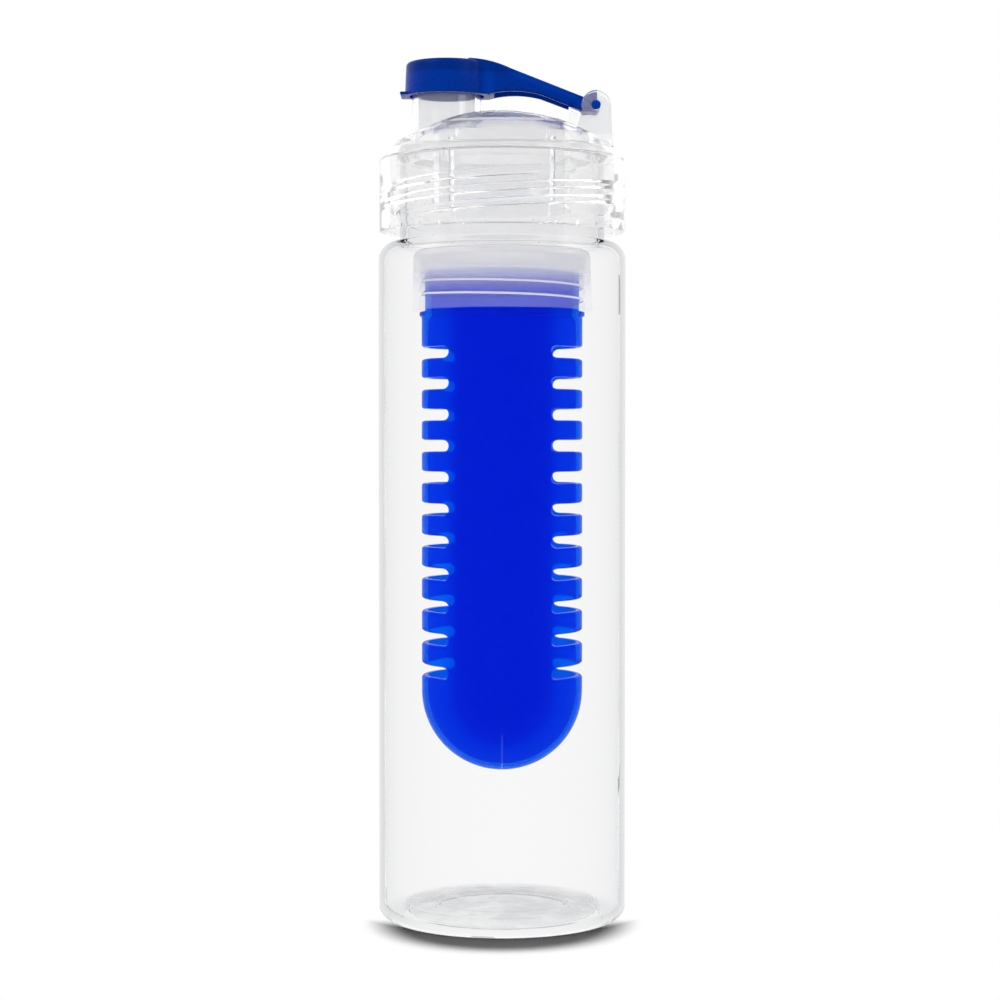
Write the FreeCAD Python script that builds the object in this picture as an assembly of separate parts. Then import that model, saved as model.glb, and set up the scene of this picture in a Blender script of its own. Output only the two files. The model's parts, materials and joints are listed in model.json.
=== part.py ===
"""Fruit infuser water bottle: clear bottle, screw lid with a spout and a flip cap, gasket, infuser collar and basket.

The bottle stands on z = 0 with its axis on Z. The spout is towards -X and the flip cap's hinge towards +X.
All sizes are in millimetres.
"""
import FreeCAD, Part
import math
import os

from FreeCAD import Vector

# Bottle
body_d = 73.0
body_h = 200.3
body_wall = 2.0
shoulder_r = 5.8
neck_set_in = 6.3
neck_wall = 2.2
neck_root_r = 0.5
rim_r = 0.6
base_corner_r = 4.0
foot_w = 3.0
foot_step = 1.0
push_up = 2.6
floor_t = 3.0
floor_ring_w = 9.0
floor_ring_step = 0.5

# Lid
lid_gap = 2.7
thread_room = 3.1
lid_wall = 2.9
skirt_h = 21.3
chamfer_w = 5.0
chamfer_h = 4.9
dome_rise = 9.7
dome_wall = 2.2
seat_roof = 3.1
keeper_h = 3.0
keeper_wall = 1.5
keeper_clearance = 0.35

# Gasket between the bottle's rim and the lid
gasket_t = 1.6
gasket_lip = 0.8
gasket_clearance = 0.35

# Spout on the lid
spout_d = 20.3
spout_wall = 1.8
spout_offset = 16.3
spout_above_dome = 9.7
spout_lip_r = 0.8

# Socket in the lid for the infuser's spigot
socket_wall = 1.9
socket_above_skirt = 6.8
socket_slits = 4
slit_w = 2.0

# Hinge on the lid
hinge_inset = 3.7
hinge_above_dome = 0.8
ear_r = 4.3
ear_t = 2.6
ear_lean = 0.8
ear_root = 1.2
trunnion_r = 1.35
trunnion_clearance = 0.08
ear_clearance = 0.3
rest_l = 3.5
rest_clearance = 0.3
rest_gap = 0.5

# Flip cap
cap_h = 10.5
cap_wall = 1.3
cap_roof = 2.2
cap_draft = 0.35
cap_edge_r = 1.2
cap_crown = 0.6
cap_clearance = 0.9
cap_over_spout = 5.6
plug_l = 3.0
plug_wall = 1.3
plug_taper = 0.7
plug_clearance = 0.45
tab_l = 1.4
tab_t = 1.1
tab_w = 11.0
pad_l = 6.5
pad_w = 9.0
pad_h = 0.25

# Arm of the flip cap
knuckle_w = 10.0
knuckle_r = 3.9
knuckle_past_pin = 0.4
knuckle_below_pin = 1.6
arm_cup_w = 16.0
arm_wall = 1.6
arm_t = 4.3
arm_slope = 21.0
arm_above_pin = 1.35
arm_straight = 25.0
arm_low_straight = 16.0
arm_arch = 1.0
arm_narrow = 8.0

# Infuser collar
infuser_clearance = 1.2
collar_draft = 0.6
collar_wall = 2.0
collar_h = 18.1
collar_edge_r = 2.5
collar_below_lid = 5.1
spigot_d = 36.8
spigot_wall = 1.8
spigot_l = 27.0
spigot_clearance = 0.15

# Infuser basket
basket_set_in = 3.0
basket_wall = 1.8
basket_l = 135.6
bead_out = 0.65
bead_h = 1.3
bead_clearance = 0.3
basket_thread_room = 1.4
basket_neck_h = 11.9
slot_count = 11
slot_pitch = 9.33
slot_h = 3.8
slot_reach = 14.8
slot_below_bead = 12.9
basket_turn = -2.0

# Heights and radii that follow from the sizes above
body_r = body_d / 2
neck_r = body_r - neck_set_in
neck_bore_r = neck_r - neck_wall
skirt_z = body_h + lid_gap
lid_bore_r = neck_r + thread_room
lid_r = lid_bore_r + lid_wall
chamfer_z = skirt_z + skirt_h
dome_z = chamfer_z + chamfer_h
dome_edge_r = lid_r - chamfer_w
dome_top = dome_z + dome_rise
dome_r = (dome_edge_r ** 2 + dome_rise ** 2) / (2 * dome_rise)
dome_centre_z = dome_top - dome_r
seat_z = dome_z - seat_roof
neck_top = seat_z - gasket_t
gasket_r = neck_r + gasket_lip
spout_r = spout_d / 2
spout_bore_r = spout_r - spout_wall
spout_top = dome_top + spout_above_dome
spigot_r = spigot_d / 2
socket_r = spigot_r + spigot_clearance
hinge_x = dome_edge_r - hinge_inset
hinge_z = dome_top + hinge_above_dome
ear_y = knuckle_w / 2 + ear_clearance
cap_in_r = spout_r + cap_clearance
cap_r = cap_in_r + cap_wall
cap_bottom = spout_top - cap_over_spout
cap_top = cap_bottom + cap_h
collar_top = skirt_z - collar_below_lid
collar_bottom = collar_top - collar_h
collar_r = neck_bore_r - infuser_clearance
collar_top_r = collar_r - collar_draft
spigot_top = collar_top + spigot_l
basket_r = collar_r - basket_set_in
basket_top = collar_bottom - bead_clearance
basket_bottom = basket_top - basket_l
basket_neck_r = collar_top_r - collar_wall - basket_thread_room
overlap = 1.0
least_step = 1e-6


def at(point):
    """A point (x, z) of the XZ plane."""
    return Vector(point[0], 0, point[1])


def on_circle(centre, radius, degrees):
    angle = math.radians(degrees)
    return (centre[0] + radius * math.cos(angle), centre[1] + radius * math.sin(angle))


def arc(centre, radius, start_degrees, end_degrees):
    """The middle and the end of an arc, as profile() takes them."""
    middle = (start_degrees + end_degrees) / 2
    return (on_circle(centre, radius, middle), on_circle(centre, radius, end_degrees))


def profile(start, *steps):
    """Closed face in the XZ plane. A step is a point, or an arc's middle and end."""
    here = start
    edges = []
    for step in steps:
        if isinstance(step[0], tuple):
            middle, end = step
            edges.append(Part.Arc(at(here), at(middle), at(end)).toShape())
        else:
            end = step
            if math.dist(here, end) > least_step:
                edges.append(Part.LineSegment(at(here), at(end)).toShape())
        here = end
    edges.append(Part.LineSegment(at(here), at(start)).toShape())
    return Part.Face(Part.Wire(edges))


def turned(face):
    return face.revolve(Vector(0, 0, 0), Vector(0, 0, 1), 360)


def tube(outer_r, inner_r, low_z, high_z, x=0.0):
    base = Vector(x, 0, low_z)
    outer = Part.makeCylinder(outer_r, high_z - low_z, base)
    return outer.cut(Part.makeCylinder(inner_r, high_z - low_z, base))


def across(face, width, middle_y=0.0):
    """A face of the XZ plane made a plate of that width, centred on middle_y."""
    plate = face.extrude(Vector(0, width, 0))
    plate.translate(Vector(0, middle_y - width / 2, 0))
    return plate


def sphere_z(radius, r):
    """Height of the dome's sphere, or of one inside it, at distance r from the axis."""
    return dome_centre_z + math.sqrt(radius ** 2 - r ** 2)


def bottle_body():
    in_r = body_r - body_wall
    foot_out = body_r - base_corner_r
    foot_in = foot_out - foot_w
    dish_r = foot_in - foot_step
    arch_r = min(shoulder_r, neck_set_in - neck_root_r)
    arch = (body_r - arch_r, body_h - arch_r)
    root = (neck_r + neck_root_r, body_h + neck_root_r)
    corner_r = base_corner_r - body_wall
    corner = (foot_out, floor_t + corner_r)
    ring_z = push_up - floor_ring_step
    dish_mid = ((floor_ring_w + dish_r) / 2, (ring_z + foot_step) / 2 + floor_ring_step / 2)
    floor_mid = (dish_mid[0], dish_mid[1] + floor_t)
    return turned(profile(
        (0, push_up),
        (floor_ring_w, push_up),
        (floor_ring_w, ring_z),
        (dish_mid, (dish_r, foot_step)),
        (foot_in, 0),
        (foot_out, 0),
        arc((foot_out, base_corner_r), base_corner_r, -90, 0),
        (body_r, arch[1]),
        arc(arch, arch_r, 0, 90),
        (root[0], body_h),
        arc(root, neck_root_r, -90, -180),
        (neck_r, neck_top - rim_r),
        arc((neck_r - rim_r, neck_top - rim_r), rim_r, 0, 90),
        (neck_bore_r + rim_r, neck_top),
        arc((neck_bore_r + rim_r, neck_top - rim_r), rim_r, 90, 180),
        (neck_bore_r, body_h - body_wall),
        (arch[0], body_h - body_wall),
        arc(arch, in_r - arch[0], 90, 0),
        (in_r, corner[1]),
        arc(corner, corner_r, 0, -90),
        (foot_in, floor_t),
        (dish_r, foot_step + floor_t),
        (floor_mid, (floor_ring_w, ring_z + floor_t)),
        (0, ring_z + floor_t),
    ))


def lid_outside():
    return turned(profile(
        (0, skirt_z),
        (lid_r, skirt_z),
        (lid_r, chamfer_z),
        (dome_edge_r, dome_z),
        (on_dome(dome_r, dome_edge_r / 2), (0, dome_top)),
    ))


def on_dome(radius, r):
    return (r, sphere_z(radius, r))


def lid_inside():
    """The hollow of the lid: thread bore, gasket seat with its keeper ring, and the space under the dome."""
    in_r = dome_r - dome_wall
    seat_r = gasket_r + gasket_clearance
    slope_h = (lid_bore_r - seat_r) * chamfer_h / chamfer_w
    keeper_r = neck_bore_r - keeper_clearance
    throat_r = keeper_r - keeper_wall
    return turned(profile(
        (0, skirt_z - overlap),
        (lid_bore_r, skirt_z - overlap),
        (lid_bore_r, seat_z - slope_h),
        (seat_r, seat_z),
        (keeper_r, seat_z),
        (keeper_r, seat_z - keeper_h),
        (throat_r, seat_z - keeper_h),
        on_dome(in_r, throat_r),
        (on_dome(in_r, throat_r / 2), on_dome(in_r, 0)),
    ))


def lid_socket():
    """Slit ring under the dome that grips the collar's spigot."""
    outer_r = socket_r + socket_wall
    top = sphere_z(dome_r - dome_wall, socket_r) + dome_wall / 4
    low = skirt_z + socket_above_skirt
    ring = tube(outer_r, socket_r, low, top)
    slit_l = socket_wall + 2 * overlap
    slit_top = spigot_top + overlap
    for number in range(socket_slits):
        slit = Part.makeBox(slit_l, slit_w, slit_top - low, Vector(socket_r - overlap, -slit_w / 2, low))
        slit.rotate(Vector(0, 0, 0), Vector(0, 0, 1), 360 / socket_slits * (number + 0.5))
        ring = ring.cut(slit)
    return ring


def lid_spout():
    return turned(profile(
        (0, dome_z),
        (spout_r, dome_z),
        (spout_r, spout_top - spout_lip_r),
        arc((spout_r - spout_lip_r, spout_top - spout_lip_r), spout_lip_r, 0, 90),
        (0, spout_top),
    )).translated(Vector(-spout_offset, 0, 0))


def lid_ears():
    """Two plates that hold the flip cap's trunnions, flared towards the dome."""
    hinge = (hinge_x, hinge_z)
    foot_x = hinge_x + ear_r + ear_lean
    plate = profile(
        on_circle(hinge, ear_r, 0),
        arc(hinge, ear_r, 0, 200),
        (hinge_x - ear_r - ear_root, sphere_z(dome_r, hinge_x - ear_r)),
        (hinge_x - ear_r - ear_root, seat_z),
        (foot_x, seat_z),
    )
    hole = Part.makeCylinder(trunnion_r + trunnion_clearance, 4 * ear_y, Vector(hinge_x, -2 * ear_y, hinge_z),
                             Vector(0, 1, 0))
    ears = [across(plate, ear_t, side * (ear_y + ear_t / 2)).cut(hole) for side in (-1, 1)]
    return ears


def arm_top_z(x):
    """Height of the straight part of the arm's top edge."""
    return hinge_z + arm_above_pin + math.tan(math.radians(arm_slope)) * (hinge_x - x)


def arm_under_z(x):
    return arm_top_z(x) - arm_t


def lid_rest():
    """Block between the ears that the closed arm comes down on."""
    right = hinge_x - knuckle_r - rest_gap
    left = right - rest_l
    return across(profile(
        (left, seat_z),
        (right, seat_z),
        (right, arm_under_z(right) - rest_clearance),
        (left, arm_under_z(left) - rest_clearance),
    ), knuckle_w)


def lid_shell():
    shell = lid_outside().fuse([lid_spout(), lid_rest()] + lid_ears())
    shell = shell.cut(lid_inside())
    shell = shell.fuse(lid_socket())
    bore_low = spigot_top + overlap
    bore = Part.makeCylinder(spout_bore_r, spout_top + overlap - bore_low, Vector(-spout_offset, 0, bore_low))
    return shell.cut(bore).removeSplitter()


def lid_gasket():
    return tube(gasket_r, neck_bore_r, neck_top, seat_z)


def cap_cup():
    top_r = cap_r - cap_draft
    edge = (top_r - cap_edge_r, cap_top - cap_crown - cap_edge_r)
    outside = turned(profile(
        (0, cap_bottom),
        (cap_r, cap_bottom),
        (top_r, edge[1]),
        arc(edge, cap_edge_r, 0, 90),
        ((edge[0] / 2, cap_top - cap_crown / 4), (0, cap_top)),
    ))
    return outside.translated(Vector(-spout_offset, 0, 0))


def cap_plug():
    """Tapered ring that closes the spout's bore."""
    top_r = spout_bore_r - plug_clearance
    tip_r = top_r - plug_taper
    roof = cap_top - cap_roof
    tip = spout_top - plug_l
    ring = turned(profile(
        (tip_r, tip),
        (top_r, spout_top),
        (top_r, roof + overlap),
        (top_r - plug_wall, roof + overlap),
        (tip_r - plug_wall, tip),
    ))
    return ring.translated(Vector(-spout_offset, 0, 0))


def cap_tab():
    """Thumb lip at the foot of the cup, away from the hinge."""
    length = cap_r + tab_l
    lip = Part.makeBox(length, tab_w, tab_t, Vector(-spout_offset - length, -tab_w / 2, cap_bottom))
    tips = [edge for edge in lip.Edges
            if edge.BoundBox.ZLength > tab_t / 2 and edge.BoundBox.XMax < -spout_offset - cap_r]
    return lip.makeFillet(tab_w / 4, tips)


def cap_pad():
    pad = Part.makeBox(pad_l, pad_w, pad_h + overlap,
                       Vector(-spout_offset - pad_l / 2, -pad_w / 2, cap_top - overlap))
    uprights = [edge for edge in pad.Edges if edge.BoundBox.ZLength > pad_h]
    return pad.makeFillet(pad_l / 4, uprights)


def arm_side(top_drop, low_drop):
    """Side view of the arm, with its top lowered by top_drop and its underside by low_drop."""
    start_x = -spout_offset + cap_r / 2
    cup_x = -spout_offset + cap_r
    top_z = cap_top - top_drop
    bend_x = hinge_x - arm_straight
    bend = (bend_x, arm_top_z(bend_x) - top_drop)
    crest = ((start_x + bend_x) / 2, top_z - (top_z - bend[1]) / 4)
    low_x = hinge_x - arm_low_straight
    low_bend = (low_x, arm_under_z(low_x) - low_drop)
    arch = ((cup_x + low_x) / 2, (cap_bottom + arm_under_z(low_x)) / 2 + arm_arch - low_drop)
    return profile(
        (start_x, top_z),
        (crest, bend),
        (hinge_x, arm_top_z(hinge_x) - top_drop),
        (hinge_x, hinge_z - knuckle_below_pin - low_drop),
        (hinge_x - knuckle_r, arm_under_z(hinge_x - knuckle_r) - low_drop),
        low_bend,
        (arch, (cup_x, cap_bottom - low_drop)),
        (start_x, cap_bottom - low_drop),
    )


def arm_plan(inset, start_x, end_x):
    """Top view of the arm as a tall block, narrowed by inset on each side."""
    wide = arm_cup_w / 2 - inset
    narrow = knuckle_w / 2 - inset
    waist_x = hinge_x - arm_narrow
    corners = [(start_x, -wide), (waist_x, -narrow), (end_x, -narrow),
               (end_x, narrow), (waist_x, narrow), (start_x, wide)]
    points = [Vector(x, y, dome_z) for x, y in corners]
    plan = Part.Face(Part.makePolygon(points + points[:1]))
    return plan.extrude(Vector(0, 0, cap_top - dome_z + overlap))


def cap_arm():
    """Arm from the cup to the knuckle, hollow underneath."""
    width = 2 * arm_cup_w
    whole = across(arm_side(0, 0), width).common(arm_plan(0, -spout_offset, hinge_x))
    hollow = across(arm_side(arm_wall, 2 * arm_wall), width)
    hollow = hollow.common(arm_plan(arm_wall, -spout_offset + cap_r + arm_wall, hinge_x - knuckle_r - arm_wall))
    return whole.cut(hollow)


def cap_knuckle():
    """Round end of the arm, cut off just past the pin, with a trunnion on each side."""
    along = Vector(0, 1, 0)
    barrel = Part.makeCylinder(knuckle_r, knuckle_w, Vector(hinge_x, -knuckle_w / 2, hinge_z), along)
    keep = Part.makeBox(knuckle_r + knuckle_past_pin, knuckle_w, knuckle_r + knuckle_below_pin,
                        Vector(hinge_x - knuckle_r, -knuckle_w / 2, hinge_z - knuckle_below_pin))
    pin_l = knuckle_w + 2 * (ear_clearance + ear_t)
    pin = Part.makeCylinder(trunnion_r, pin_l, Vector(hinge_x, -pin_l / 2, hinge_z), along)
    return barrel.common(keep).fuse(pin)


def flip_cap():
    cap = cap_cup().fuse([cap_tab(), cap_pad(), cap_arm(), cap_knuckle()])
    hollow = Part.makeCylinder(cap_in_r, cap_h - cap_roof, Vector(-spout_offset, 0, cap_bottom))
    return cap.cut(hollow).fuse(cap_plug()).removeSplitter()


def infuser_collar():
    in_top_r = collar_top_r - collar_wall
    roof = collar_top - collar_wall
    edge = (collar_top_r - collar_edge_r, collar_top - collar_edge_r)
    return turned(profile(
        (collar_r - collar_wall, collar_bottom),
        (collar_r, collar_bottom),
        (collar_top_r, edge[1]),
        arc(edge, collar_edge_r, 0, 90),
        (spigot_r, collar_top),
        (spigot_r, spigot_top),
        (spigot_r - spigot_wall, spigot_top),
        (spigot_r - spigot_wall, roof),
        (in_top_r, roof),
    ))


def basket_tube():
    in_r = basket_r - basket_wall
    neck_in_r = basket_neck_r - basket_wall
    ball = (0, basket_bottom + basket_r)
    bead_r = basket_r + bead_out
    bead_z = basket_top - bead_h
    step_z = bead_z - basket_wall
    return turned(profile(
        (0, basket_bottom),
        arc(ball, basket_r, -90, 0),
        (basket_r, bead_z),
        (bead_r, bead_z),
        (bead_r, basket_top),
        (basket_neck_r, basket_top),
        (basket_neck_r, basket_top + basket_neck_h),
        (neck_in_r, basket_top + basket_neck_h),
        (neck_in_r, bead_z),
        (in_r, step_z),
        (in_r, ball[1]),
        arc(ball, in_r, 0, -90),
    ))


def basket_slots():
    """Slots open to one side of the basket, with round ends towards its front and back."""
    half = slot_h / 2
    slots = []
    for side in (-1, 1):
        for number in range(slot_count):
            z = basket_top - slot_below_bead - number * slot_pitch
            end = (side * (slot_reach + half), z)
            far_x = side * (basket_r + overlap)
            slots.append(across(profile(
                (far_x, z - half),
                (end[0], z - half),
                ((side * slot_reach, z), (end[0], z + half)),
                (far_x, z + half),
            ), 2 * basket_r + overlap))
    return slots


def infuser_basket():
    basket = basket_tube().cut(basket_slots())
    basket.rotate(Vector(0, 0, 0), Vector(0, 0, 1), basket_turn)
    return basket


pieces = {
    "bottle_body": bottle_body,
    "lid_gasket": lid_gasket,
    "lid_shell": lid_shell,
    "flip_cap": flip_cap,
    "infuser_collar": infuser_collar,
    "infuser_basket": infuser_basket,
}

os.makedirs("parts", exist_ok=True)
for name, make in pieces.items():
    shape = make()
    print(name, "solids", len(shape.Solids), "valid", shape.isValid(), "volume", round(shape.Volume / 1000, 2), "ml")
    shape.exportStep("parts/" + name + ".step")
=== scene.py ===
"""Fruit infuser water bottle: finished pieces and studio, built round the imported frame.

Lengths are in metres.
"""
import json
import math

import bpy
from bpy.props import FloatProperty, FloatVectorProperty, IntProperty, PointerProperty
from mathutils import Matrix, Vector


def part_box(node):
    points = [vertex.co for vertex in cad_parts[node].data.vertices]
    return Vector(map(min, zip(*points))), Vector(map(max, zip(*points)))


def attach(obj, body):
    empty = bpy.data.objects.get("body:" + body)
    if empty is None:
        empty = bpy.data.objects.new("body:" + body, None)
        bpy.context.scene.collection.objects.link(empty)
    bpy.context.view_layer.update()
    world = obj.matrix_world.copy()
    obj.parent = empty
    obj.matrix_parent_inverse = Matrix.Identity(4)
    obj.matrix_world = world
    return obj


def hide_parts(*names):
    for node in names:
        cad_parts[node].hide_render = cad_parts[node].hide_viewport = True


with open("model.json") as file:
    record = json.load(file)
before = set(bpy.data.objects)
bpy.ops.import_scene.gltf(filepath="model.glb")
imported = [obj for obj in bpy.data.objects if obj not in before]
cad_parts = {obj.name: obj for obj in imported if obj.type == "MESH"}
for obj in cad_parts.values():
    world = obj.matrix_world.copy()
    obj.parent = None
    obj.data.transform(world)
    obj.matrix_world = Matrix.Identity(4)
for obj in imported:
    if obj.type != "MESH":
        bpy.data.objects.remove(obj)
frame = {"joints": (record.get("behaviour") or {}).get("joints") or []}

bl_info = {
    "name": "Fruit infuser bottle",
    "version": (1, 0, 0),
    "blender": (4, 5, 0),
    "location": "View3D > Sidebar > Infuser bottle",
    "description": "Models the pieces of a fruit infuser water bottle round its frame and lights them",
    "category": "Object",
}

MM = 0.001
MERGE = 1e-7
SIDES = 192
SPOUT_SIDES = 96
BORE_SIDES = 84
CAP_SIDES = 128
# The cutter that rounds the slots has other facets than the basket, so that they don't coincide.
ROUNDING_SIDES = SIDES - 8
ARC_PARTS = 7
EDGE_PARTS = 3
HOLE_PARTS = 23
SHARP_ANGLE = math.radians(32)
# Cutters reach this far past what they cut.
PAST = 1 * MM
# Thread ridges reach this far into their wall.
SUNK = 0.5 * MM
# One tint passes into the next over this length.
BLEND = 1 * MM
BUMP = 0.2 * MM
DEEP_GREY = (0.55, 0.56, 0.58)

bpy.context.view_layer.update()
_, BOTTLE_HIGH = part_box("bottle_body")
LID_LOW, LID_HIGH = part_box("lid_shell")
GASKET_LOW, GASKET_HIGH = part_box("lid_gasket")
CAP_LOW, CAP_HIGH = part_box("flip_cap")
COLLAR_LOW, COLLAR_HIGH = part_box("infuser_collar")
BASKET_LOW, BASKET_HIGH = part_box("infuser_basket")
HINGE = next(Vector(joint["pos_m"]) for joint in frame["joints"] if joint["name"] == "flip_cap_hinge")


def length(name, description, default_mm):
    return FloatProperty(name=name, description=description, default=default_mm * MM, unit="LENGTH",
                         precision=5)


def count(name, description, default):
    return IntProperty(name=name, description=description, default=default, min=1)


def colour(name, description, default):
    return FloatVectorProperty(name=name, description=description, default=default, size=3, subtype="COLOR",
                               min=0.0, max=1.0)


class BottleSizes(bpy.types.PropertyGroup):
    """Sizes of the clear bottle"""
    wall: length("Wall", "Thickness of the body's wall", 2.0)
    body_height: length("Body height", "Height of the shoulder's top", 200.3)
    shoulder: length("Shoulder", "Radius of the shoulder", 5.8)
    neck_radius: length("Neck radius", "Outside of the neck between the threads", 30.2)
    neck_wall: length("Neck wall", "Thickness of the neck's wall", 2.2)
    neck_root: length("Neck root", "Fillet between shoulder and neck", 0.5)
    rim: length("Rim", "Rounding of the rim", 0.6)
    base_corner: length("Base corner", "Radius between wall and foot", 4.0)
    foot_width: length("Foot width", "Width of the ring that the bottle stands on", 3.0)
    push_up: length("Push-up", "Height of the floor's underside at its middle", 2.6)
    floor: length("Floor", "Thickness of the floor", 3.0)
    disc_radius: length("Disc radius", "Raised disc in the floor's middle", 19.5)
    groove_radius: length("Groove radius", "Ring groove near the edge of the floor", 28.4)


class ThreadSizes(bpy.types.PropertyGroup):
    """Sizes of the screw threads"""
    pitch: length("Pitch", "Height from one ridge of the lid's thread to the next", 4.25)
    starts: count("Starts", "Ridges side by side on the lid's thread", 3)
    depth: length("Depth", "Height of a ridge above its wall", 1.3)
    root: length("Root", "Width of a ridge at its wall", 3.0)
    basket_pitch: length("Basket pitch", "Height from one ridge of the basket's thread to the next", 3.8)
    basket_depth: length("Basket depth", "Height of a ridge of the basket's thread", 0.6)
    basket_root: length("Basket root", "Width of a ridge of the basket's thread at its wall", 1.4)


class LidSizes(bpy.types.PropertyGroup):
    """Sizes of the clear screw lid"""
    wall: length("Wall", "Thickness of the skirt", 2.9)
    skirt: length("Skirt", "Height of the skirt's straight side", 21.3)
    chamfer_width: length("Chamfer width", "Width of the slope above the skirt", 5.0)
    chamfer_height: length("Chamfer height", "Height of the slope above the skirt", 4.9)
    dome_rise: length("Dome rise", "Height of the dome", 9.7)
    dome_wall: length("Dome wall", "Thickness of the dome", 2.2)
    seat_roof: length("Seat roof", "Height of the dome's edge above the gasket's seat", 3.1)
    keeper_height: length("Keeper height", "Depth of the ring inside the gasket", 3.0)
    keeper_wall: length("Keeper wall", "Thickness of the ring inside the gasket", 1.5)
    spout_radius: length("Spout radius", "Outside of the spout", 10.15)
    spout_wall: length("Spout wall", "Thickness of the spout", 1.8)
    spout_offset: length("Spout offset", "Distance of the spout from the bottle's axis", 16.3)
    socket_radius: length("Socket radius", "Bore of the ring that grips the infuser", 18.55)
    socket_wall: length("Socket wall", "Thickness of that ring", 1.9)
    socket_lift: length("Socket lift", "Height of that ring's lower edge above the skirt's", 6.8)
    slit: length("Slit", "Width of the slits in that ring", 2.0)
    marks: count("Marks", "Short marks round the skirt's lower edge", 32)
    mark: length("Mark", "Height of those marks", 1.0)
    ear_radius: length("Ear radius", "Rounding of the hinge ears about the pin", 4.3)
    ear: length("Ear", "Thickness of a hinge ear", 2.6)
    ear_inside: length("Ear inside", "Distance of an ear's inner face from the middle", 5.3)
    pin_hole: length("Pin hole", "Radius of the hole in an ear", 1.43)


class CapSizes(bpy.types.PropertyGroup):
    """Sizes of the flip cap"""
    radius: length("Radius", "Outside of the cup at its foot", 12.35)
    wall: length("Wall", "Thickness of the cup", 1.3)
    height: length("Height", "Height of the cup", 10.5)
    roof: length("Roof", "Thickness of the cup's roof", 2.2)
    draft: length("Draft", "Narrowing of the cup towards its top", 0.35)
    edge: length("Edge", "Rounding of the cup's top edge", 1.2)
    crown: length("Crown", "Rise of the cup's top", 0.6)
    plug_radius: length("Plug radius", "Outside of the plug at the spout's lip", 7.9)
    plug_wall: length("Plug wall", "Thickness of the plug", 1.3)
    plug: length("Plug", "Depth of the plug in the spout", 3.0)
    pad_length: length("Pad length", "Length of the pad on the cup's top", 6.5)
    pad_width: length("Pad width", "Width of the pad on the cup's top", 9.0)
    tab_width: length("Tab width", "Width of the thumb tab", 11.0)
    tab: length("Tab", "Thickness of the thumb tab", 1.1)
    arm_width: length("Arm width", "Width of the arm at the cup", 16.0)
    knuckle_width: length("Knuckle width", "Width of the arm at the hinge", 10.0)
    knuckle_radius: length("Knuckle radius", "Rounding of the arm's end about the pin", 3.9)
    arm: length("Arm", "Height of the arm's straight part", 4.3)
    arm_wall: length("Arm wall", "Thickness of the arm's top and sides", 1.6)
    trunnion: length("Trunnion", "Radius of the pins moulded on the arm", 1.35)


class InfuserSizes(bpy.types.PropertyGroup):
    """Sizes of the collar and the basket"""
    collar_wall: length("Collar wall", "Thickness of the collar", 2.0)
    collar_draft: length("Collar draft", "Narrowing of the collar towards its top", 0.6)
    collar_height: length("Collar height", "Height of the collar's cup", 18.1)
    collar_edge: length("Collar edge", "Rounding of the collar's shoulder", 2.5)
    spigot_radius: length("Spigot radius", "Outside of the collar's spigot", 18.4)
    spigot_wall: length("Spigot wall", "Thickness of the spigot", 1.8)
    basket_radius: length("Basket radius", "Outside of the basket", 23.8)
    basket_wall: length("Basket wall", "Thickness of the basket", 1.8)
    basket_neck: length("Basket neck", "Outside of the basket's neck between the threads", 22.8)
    neck_height: length("Neck height", "Height of the basket's neck", 11.9)
    bead: length("Bead", "Height of the bead under the neck", 1.3)
    slots: count("Slots", "Slots on each side of the basket", 11)
    slot_pitch: length("Slot pitch", "Height from the first slot to the next", 9.0)
    slot_growth: length("Slot growth", "Growth of the pitch from slot to slot, halved", 0.034)
    slot_height: length("Slot height", "Height of a slot", 3.5)
    slot_reach: length("Slot reach", "Distance of the slots' round ends from the middle", 14.8)
    slot_edge: length("Slot edge", "Rounding of the slots' outer edges", 0.85)
    slot_first: length("First slot", "Distance of the first slot below the bead's top", 12.2)
    basket_turn: FloatProperty(name="Basket turn", description="Angle at which the basket's thread stops",
                               default=math.radians(-2.0), unit="ROTATION")


class Finishes(bpy.types.PropertyGroup):
    """Colours of the plastics, with tints for painted shade, painted sheen and a painted highlight"""
    clear: colour("Clear plastic", "Tint of the bottle", (0.995, 0.995, 0.995))
    lid: colour("Lid", "Tint of the lid", (1.0, 1.0, 1.0))
    # Painted shade: the spout and hinge ears are the lid's clear plastic, greyed to stand in for shade.
    spout: colour("Spout", "Tint of the lid's spout and hinge ears", (0.92, 0.925, 0.93))
    base: colour("Base", "Tint of the clouds in the bottle's base", (0.83, 0.835, 0.84))
    basket: colour("Basket", "Tint of the basket's front and back", (0.0, 0.05, 0.84))
    # Painted sheen: paler tint on the slotted sides and round the ball, standing in for grazing
    # reflections.
    basket_side_sheen: colour("Basket sides", "Tint of the basket's slotted sides", (0.0, 0.12, 0.92))
    # Painted highlight: a pale line along the mould seam under the basket.
    basket_seam_highlight: colour("Basket seam", "Tint of the mould seam under the basket", (0.3, 0.5, 0.95))
    basket_neck: colour("Basket neck", "Tint of the basket's thin neck", (0.0, 0.13, 0.85))
    cap: colour("Flip cap", "Colour of the flip cap", (0.0, 0.042, 0.40))
    # Painted shade: darker tint on the cap's thick roof, where less light passes through.
    cap_roof_shade: colour("Cap roof", "Colour of the flip cap's thick roof", (0.0, 0.03, 0.28))
    frost: colour("Collar", "Tint of the frosted collar", (0.82, 0.82, 0.83))
    silicone: colour("Gasket", "Colour of the silicone", (0.97, 0.97, 0.97))


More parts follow.
